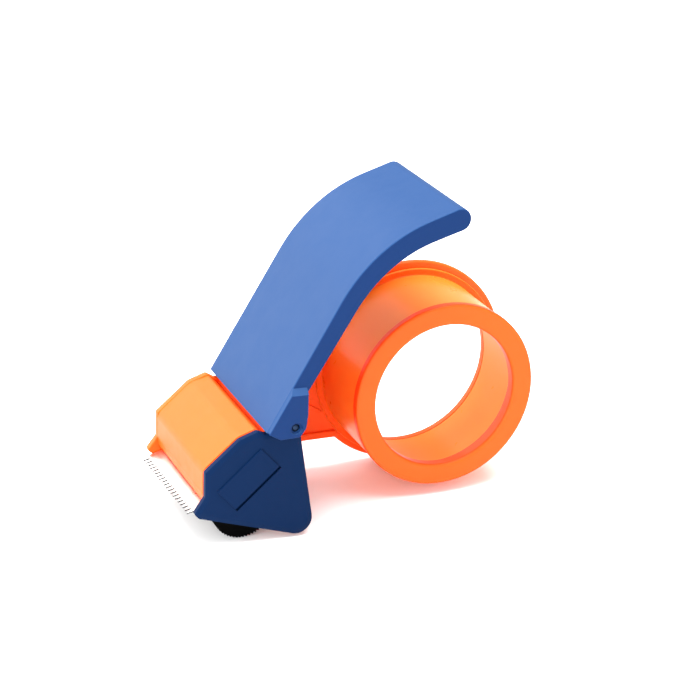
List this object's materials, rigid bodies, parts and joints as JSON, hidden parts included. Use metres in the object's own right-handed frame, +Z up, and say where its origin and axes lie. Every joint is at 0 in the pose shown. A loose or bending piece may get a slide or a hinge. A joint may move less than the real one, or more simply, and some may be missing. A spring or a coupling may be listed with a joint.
{
  "type": "tape dispenser",
  "caption": "Hand-held packing tape dispenser: open drum for the roll, arched strap handle, hooded nose with a serrated blade and a ribbed roller.",
  "frame": {"origin": "on the table, below the middle of the tool's box", "axes": "+X from the nose towards the hub, +Y across the tool from the open near side to the side plate, +Z up"},
  "size_m": [0.1538, 0.0666, 0.1254],
  "materials": {
    "orange": "moulded plastic, satin gloss",
    "orange_hub": "moulded plastic, satin gloss",
    "blue": "moulded plastic, fine satin",
    "steel": "bright drawn steel",
    "blade_steel": "bright cold-rolled strip",
    "zinc": "zinc-plated steel",
    "black_rubber": "moulded rubber with fine ribs",
    "white_plastic": "natural moulded plastic"
  },
  "bodies": {
    "body": {"body_frame": "orange", "tape_hub": "orange_hub", "hub_end_ring": "orange_hub", "handle": "blue", "side_guard": "blue", "handle_pin_near": "zinc", "handle_pin_far": "zinc", "roller_axle": "steel", "cutting_blade": "blade_steel", "blade_clamp": "zinc", "flap_pin": "steel", "flap_spring": "steel", "hub_screw_1": "zinc", "hub_screw_2": "zinc", "hub_screw_3": "zinc", "hub_screw_4": "zinc", "blade_screw_1": "zinc", "blade_screw_2": "zinc", "blade_screw_3": "zinc"},
    "roller": {"roller_sleeve": "black_rubber", "roller_core": "white_plastic"},
    "flap": {"tape_flap": "white_plastic"}
  },
  "joints": [
    {"name": "roller_spin", "type": "hinge", "parent": "body", "child": "roller", "pos_m": [-0.053, 0, 0.0117], "axis": [0, 1, 0], "continuous": true},
    {"name": "flap_lift", "type": "hinge", "parent": "body", "child": "flap", "pos_m": [-0.0505, 0, 0.034], "axis": [0, 1, 0], "range_deg": [0, 25], "stiffness_Nm_per_rad": 0.01, "springref_deg": -17.19}
  ]
}
